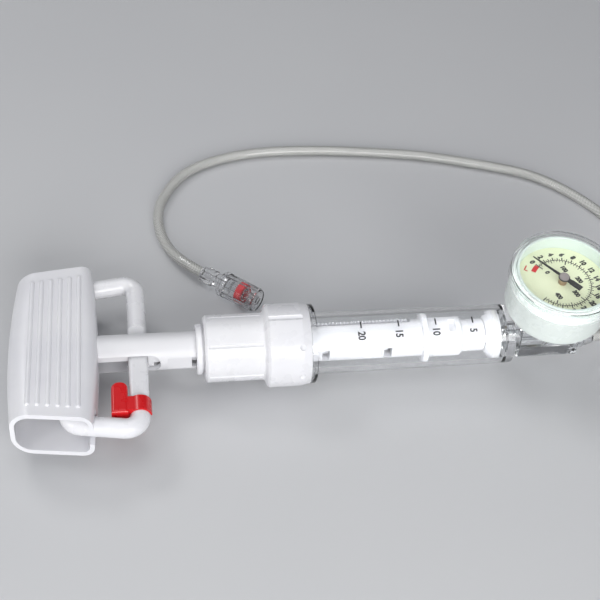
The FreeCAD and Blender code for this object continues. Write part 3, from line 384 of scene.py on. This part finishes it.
ink = Ink()
DEG = math.radians(1.0) * 12.5
for k, label in ((0, "20"), (1, "15"), (2, "10"), (3, "5")):
    x = 20.68 + 15.35 * k
    n = 6
    for i in range(n):
        s0, s1 = (8.5 + 13.5 * i / n) * DEG, (8.5 + 13.5 * (i + 1) / n) * DEG
        ink.quad(Vector((x - 0.3, s0, 0)), Vector((x + 0.3, s0, 0)), Vector((x + 0.3, s1, 0)), Vector((x - 0.3, s1, 0)))
    vs, fs = text_outline(label, 4.2, 0.86, 0.03)
    ink.add([Vector((x + v.y, 36.5 * DEG + v.x, 0)) for v in vs], fs)
solid_marks("barrel_scale", ink, barrel_at, 0.02, INK, "syringe")

# ------------------------------------------------------------------ pressure tube
ROUTE = [
    (0.11940, 0.00000, 0.01295), (0.13040, 0.00000, 0.01295), (0.14290, 0.00450, 0.00655), (0.15540, 0.01380, 0.00245),
    (0.16590, 0.02850, 0.00245), (0.17050, 0.04680, 0.00245), (0.16790, 0.06500, 0.00245), (0.16110, 0.08400, 0.00245),
    (0.15050, 0.10580, 0.00245), (0.13100, 0.12750, 0.00245), (0.10360, 0.13800, 0.00245), (0.07760, 0.14660, 0.00245),
    (0.04790, 0.15130, 0.00245), (0.01750, 0.15450, 0.00245), (-0.01380, 0.15350, 0.00245), (-0.04260, 0.14210, 0.00245),
    (-0.05680, 0.11810, 0.00245), (-0.05910, 0.10000, 0.00245), (-0.05600, 0.08220, 0.00305), (-0.04841, 0.06632, 0.00570),
    (-0.04020, 0.05900, 0.00570),
]
TUBE_R = 0.00245


def nurbs(name, pts, bevel):
    cu = bpy.data.curves.new(name, "CURVE")
    cu.dimensions = "3D"
    sp = cu.splines.new("NURBS")
    sp.points.add(len(pts) - 1)
    for p, q in zip(sp.points, pts):
        p.co = (*q, 1.0)
    sp.order_u = 3
    sp.use_endpoint_u = True
    cu.resolution_u = 16
    cu.bevel_depth = bevel
    cu.bevel_resolution = 8
    cu.use_fill_caps = bevel > 0
    o = bpy.data.objects.new(name, cu)
    bpy.context.scene.collection.objects.link(o)
    return o


line = nurbs("tube_line", ROUTE, 0.0)
dg = bpy.context.evaluated_depsgraph_get()
dg.update()
me = bpy.data.meshes.new_from_object(line.evaluated_get(dg))
CENTRE = [v.co.copy() for v in me.vertices]
bpy.data.meshes.remove(me)
bpy.data.objects.remove(line)


def frames(pts):
    """Tangent, side and up at each point, carried along without twist."""
    out = []
    up = Vector((0, 0, 1))
    for i, p in enumerate(pts):
        t = (pts[min(i + 1, len(pts) - 1)] - pts[max(i - 1, 0)]).normalized()
        side = t.cross(up).normalized()
        out.append((t, side, side.cross(t).normalized()))
    return out


FR = frames(CENTRE)


def hose(name, r, sides, mat, caps=True):
    verts, faces = [], []
    n = len(CENTRE)
    for c, (t, s, u) in zip(CENTRE, FR):
        for k in range(sides):
            a = 2 * math.pi * k / sides
            verts.append(c + (s * math.cos(a) + u * math.sin(a)) * r)
    for i in range(n - 1):
        for k in range(sides):
            k2 = (k + 1) % sides
            faces.append([i * sides + k, (i + 1) * sides + k, (i + 1) * sides + k2, i * sides + k2])
    if caps:
        faces.append([k for k in range(sides)])
        faces.append([(n - 1) * sides + k for k in reversed(range(sides))])
    o = new_mesh(name, verts, faces, mat, "syringe")
    uv = o.data.uv_layers.new(name="along")
    dist = [0.0]
    for i in range(n - 1):
        dist.append(dist[-1] + (CENTRE[i + 1] - CENTRE[i]).length)
    for poly in o.data.polygons:
        ks = [o.data.loops[li].vertex_index for li in poly.loop_indices]
        wrap = len(ks) == 4 and max(v % sides for v in ks) == sides - 1 and min(v % sides for v in ks) == 0
        for li, vi in zip(poly.loop_indices, ks):
            k = vi % sides
            if wrap and k == 0:
                k = sides
            uv.data[li].uv = (k / sides, dist[min(vi // sides, n - 1)] * 100.0)
    for p in o.data.polygons:
        p.use_smooth = True
    bm = bmesh.new()
    bm.from_mesh(o.data)
    bmesh.ops.recalc_face_normals(bm, faces=bm.faces)
    bm.to_mesh(o.data)
    bm.free()
    return o


def braid_material():
    """Fine white crossed threads laid in a clear wall."""
    k = Mat("hose_braid")
    k.t.nodes.remove(k.co)
    uvn = k.node("ShaderNodeUVMap")
    uvn.uv_map = "along"
    sep = k.node("ShaderNodeSeparateXYZ")
    k.link(uvn.outputs[0], sep.inputs[0])

    def wave(sign, turns, pitch):
        m1 = k.node("ShaderNodeMath", operation="MULTIPLY")
        k.link(sep.outputs[0], m1.inputs[0])
        m1.inputs[1].default_value = turns * 2 * math.pi
        m2 = k.node("ShaderNodeMath", operation="MULTIPLY")
        k.link(sep.outputs[1], m2.inputs[0])
        m2.inputs[1].default_value = sign * pitch * 2 * math.pi
        ad = k.node("ShaderNodeMath", operation="ADD")
        k.link(m1.outputs[0], ad.inputs[0])
        k.link(m2.outputs[0], ad.inputs[1])
        co = k.node("ShaderNodeMath", operation="COSINE")
        k.link(ad.outputs[0], co.inputs[0])
        return co.outputs[0]

    a, b = wave(1.0, 13.0, 9.5), wave(-1.0, 13.0, 9.5)
    mx = k.node("ShaderNodeMath", operation="MAXIMUM")
    k.link(a, mx.inputs[0])
    k.link(b, mx.inputs[1])
    col = k.mix(mx.outputs[0], (0.26, 0.26, 0.25), (0.66, 0.66, 0.64), 0.2, 0.75)
    k.link(col, k.b.inputs["Base Color"])
    k.link(k.bump(mx.outputs[0], 0.5, 0.0002), k.b.inputs["Normal"])
    k.b.inputs["Roughness"].default_value = 0.4
    thin = k.node("ShaderNodeBsdfTransparent")
    mix = k.node("ShaderNodeMixShader")
    k.link(k.span(mx.outputs[0], 0.45, 1.0, 0.1, 0.8), mix.inputs[0])
    k.link(thin.outputs[0], mix.inputs[1])
    k.link(k.b.outputs[0], mix.inputs[2])
    k.link(mix.outputs[0], k.out.inputs[0])
    return k.m


CLEAR_HOSE = clear("clear_hose", (0.96, 0.96, 0.955), ior=1.42, rough=(0.05, 0.14), wave=0.06)
HOSE_CORE = moulded("hose_core", (0.44, 0.44, 0.42), (0.52, 0.52, 0.50), rough=(0.35, 0.5), grain=0.05)

sheath = nurbs("pressure_hose", ROUTE, TUBE_R)
sheath.data.materials.append(CLEAR_HOSE)
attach(sheath, "syringe")
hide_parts("pressure_tube")
braid = hose("hose_braid", 0.00188, 32, braid_material())
core = hose("hose_liner", 0.00135, 24, HOSE_CORE)

# ------------------------------------------------------------------ springs, copied in steel onto the plunger body
def spring(name):
    src = NODE[name]
    o = bpy.data.objects.new(name + "_wire", src.data.copy())
    bpy.context.scene.collection.objects.link(o)
    o.matrix_world = src.matrix_world.copy()
    o.data.materials.clear()
    o.data.materials.append(STEEL)
    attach(o, "plunger")
    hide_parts(name)
    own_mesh(o)


spring("return_spring")
spring("tooth_springs")

# ------------------------------------------------------------------ floor, light, camera
floor_me = bpy.data.meshes.new("floor")
bm = bmesh.new()
S, BK, H, RAD, SEG = 3.0, 1.6, 2.2, 0.9, 24
rows = [(-S, 0.0)]
for i in range(SEG + 1):
    a = math.pi / 2 * i / SEG
    rows.append((BK - RAD + RAD * math.sin(a), RAD - RAD * math.cos(a)))
rows.append((BK, H))
vr = []
for y, z in rows:
    vr.append([bm.verts.new((x, y, z - 0.0002)) for x in (-S, -S / 2, 0, S / 2, S)])
for i in range(len(vr) - 1):
    for j in range(4):
        bm.faces.new([vr[i][j], vr[i][j + 1], vr[i + 1][j + 1], vr[i + 1][j]])
bmesh.ops.recalc_face_normals(bm, faces=bm.faces)
bm.to_mesh(floor_me)
bm.free()
for p in floor_me.polygons:
    p.use_smooth = True
floor = bpy.data.objects.new("floor", floor_me)
bpy.context.scene.collection.objects.link(floor)
k = Mat("pale_floor")
k.link(k.mix(k.noise(3.0, 3.0), (0.58, 0.585, 0.60), (0.61, 0.615, 0.625)), k.b.inputs["Base Color"])
k.link(k.bump(k.noise(1400.0, 2.0), 0.05, 0.0001), k.b.inputs["Normal"])
k.b.inputs["Roughness"].default_value = 0.55
floor_me.materials.append(k.m)

world = bpy.data.worlds.new("studio")
bpy.context.scene.world = world
world.use_nodes = True
wt = world.node_tree
wco = wt.nodes.new("ShaderNodeTexCoord")
wsep = wt.nodes.new("ShaderNodeSeparateXYZ")
wt.links.new(wco.outputs["Generated"], wsep.inputs[0])
wramp = wt.nodes.new("ShaderNodeValToRGB")
wramp.color_ramp.elements[0].position = 0.10
wramp.color_ramp.elements[0].color = (0.03, 0.031, 0.034, 1)
wramp.color_ramp.elements[1].position = 0.62
wramp.color_ramp.elements[1].color = (0.93, 0.95, 1.0, 1)
wt.links.new(wsep.outputs[2], wramp.inputs[0])
wt.links.new(wramp.outputs[0], wt.nodes["Background"].inputs[0])
wt.nodes["Background"].inputs[1].default_value = 0.35
bpy.context.scene.view_settings.view_transform = "Standard"
bpy.context.scene.view_settings.look = "None"


def area(name, at, to, size, power, color=(1, 1, 1)):
    li = bpy.data.lights.new(name, "AREA")
    li.shape = "RECTANGLE"
    li.size, li.size_y = size
    li.energy = power
    li.color = color
    o = bpy.data.objects.new(name, li)
    bpy.context.scene.collection.objects.link(o)
    o.location = at
    o.rotation_euler = (Vector(to) - Vector(at)).to_track_quat("-Z", "Y").to_euler()
    return o


area("key", (0.10, -0.85, 0.40), (0.0, 0.0, 0.015), (0.75, 0.40), 6.6)
area("top", (-0.10, 0.10, 0.95), (0.0, 0.02, 0.0), (0.8, 0.5), 1.4)
area("left", (-0.75, -0.45, 0.25), (0.0, 0.0, 0.02), (0.4, 0.35), 2.0)
area("rim", (-0.55, 0.65, 0.85), (0.0, 0.03, 0.0), (0.4, 0.25), 2.2)

AZ, EL, ROLL, F = math.radians(-10.0806), math.radians(42.2774), math.radians(4.0652), 1222.81
back = Vector((math.sin(AZ) * math.cos(EL), -math.cos(AZ) * math.cos(EL), math.sin(EL)))
fwd = -back
right = Vector((math.cos(AZ), math.sin(AZ), 0))
up = right.cross(fwd)
r2 = right * math.cos(ROLL) + up * math.sin(ROLL)
u2 = -right * math.sin(ROLL) + up * math.cos(ROLL)
cam_data = bpy.data.cameras.new("camera")
cam_data.sensor_width = 36.0
cam_data.lens = F * 36.0 / 600.0
cam_data.clip_start = 0.01
cam_data.clip_end = 20.0
cam = bpy.data.objects.new("camera", cam_data)
bpy.context.scene.collection.objects.link(cam)
loc = (Vector((0.489, 26.343, 0.0)) + back * 518.246 + SHIFT) * MM
cam.matrix_world = Matrix((
    (r2.x, u2.x, back.x, loc.x), (r2.y, u2.y, back.y, loc.y), (r2.z, u2.z, back.z, loc.z), (0, 0, 0, 1)))
bpy.context.scene.camera = cam
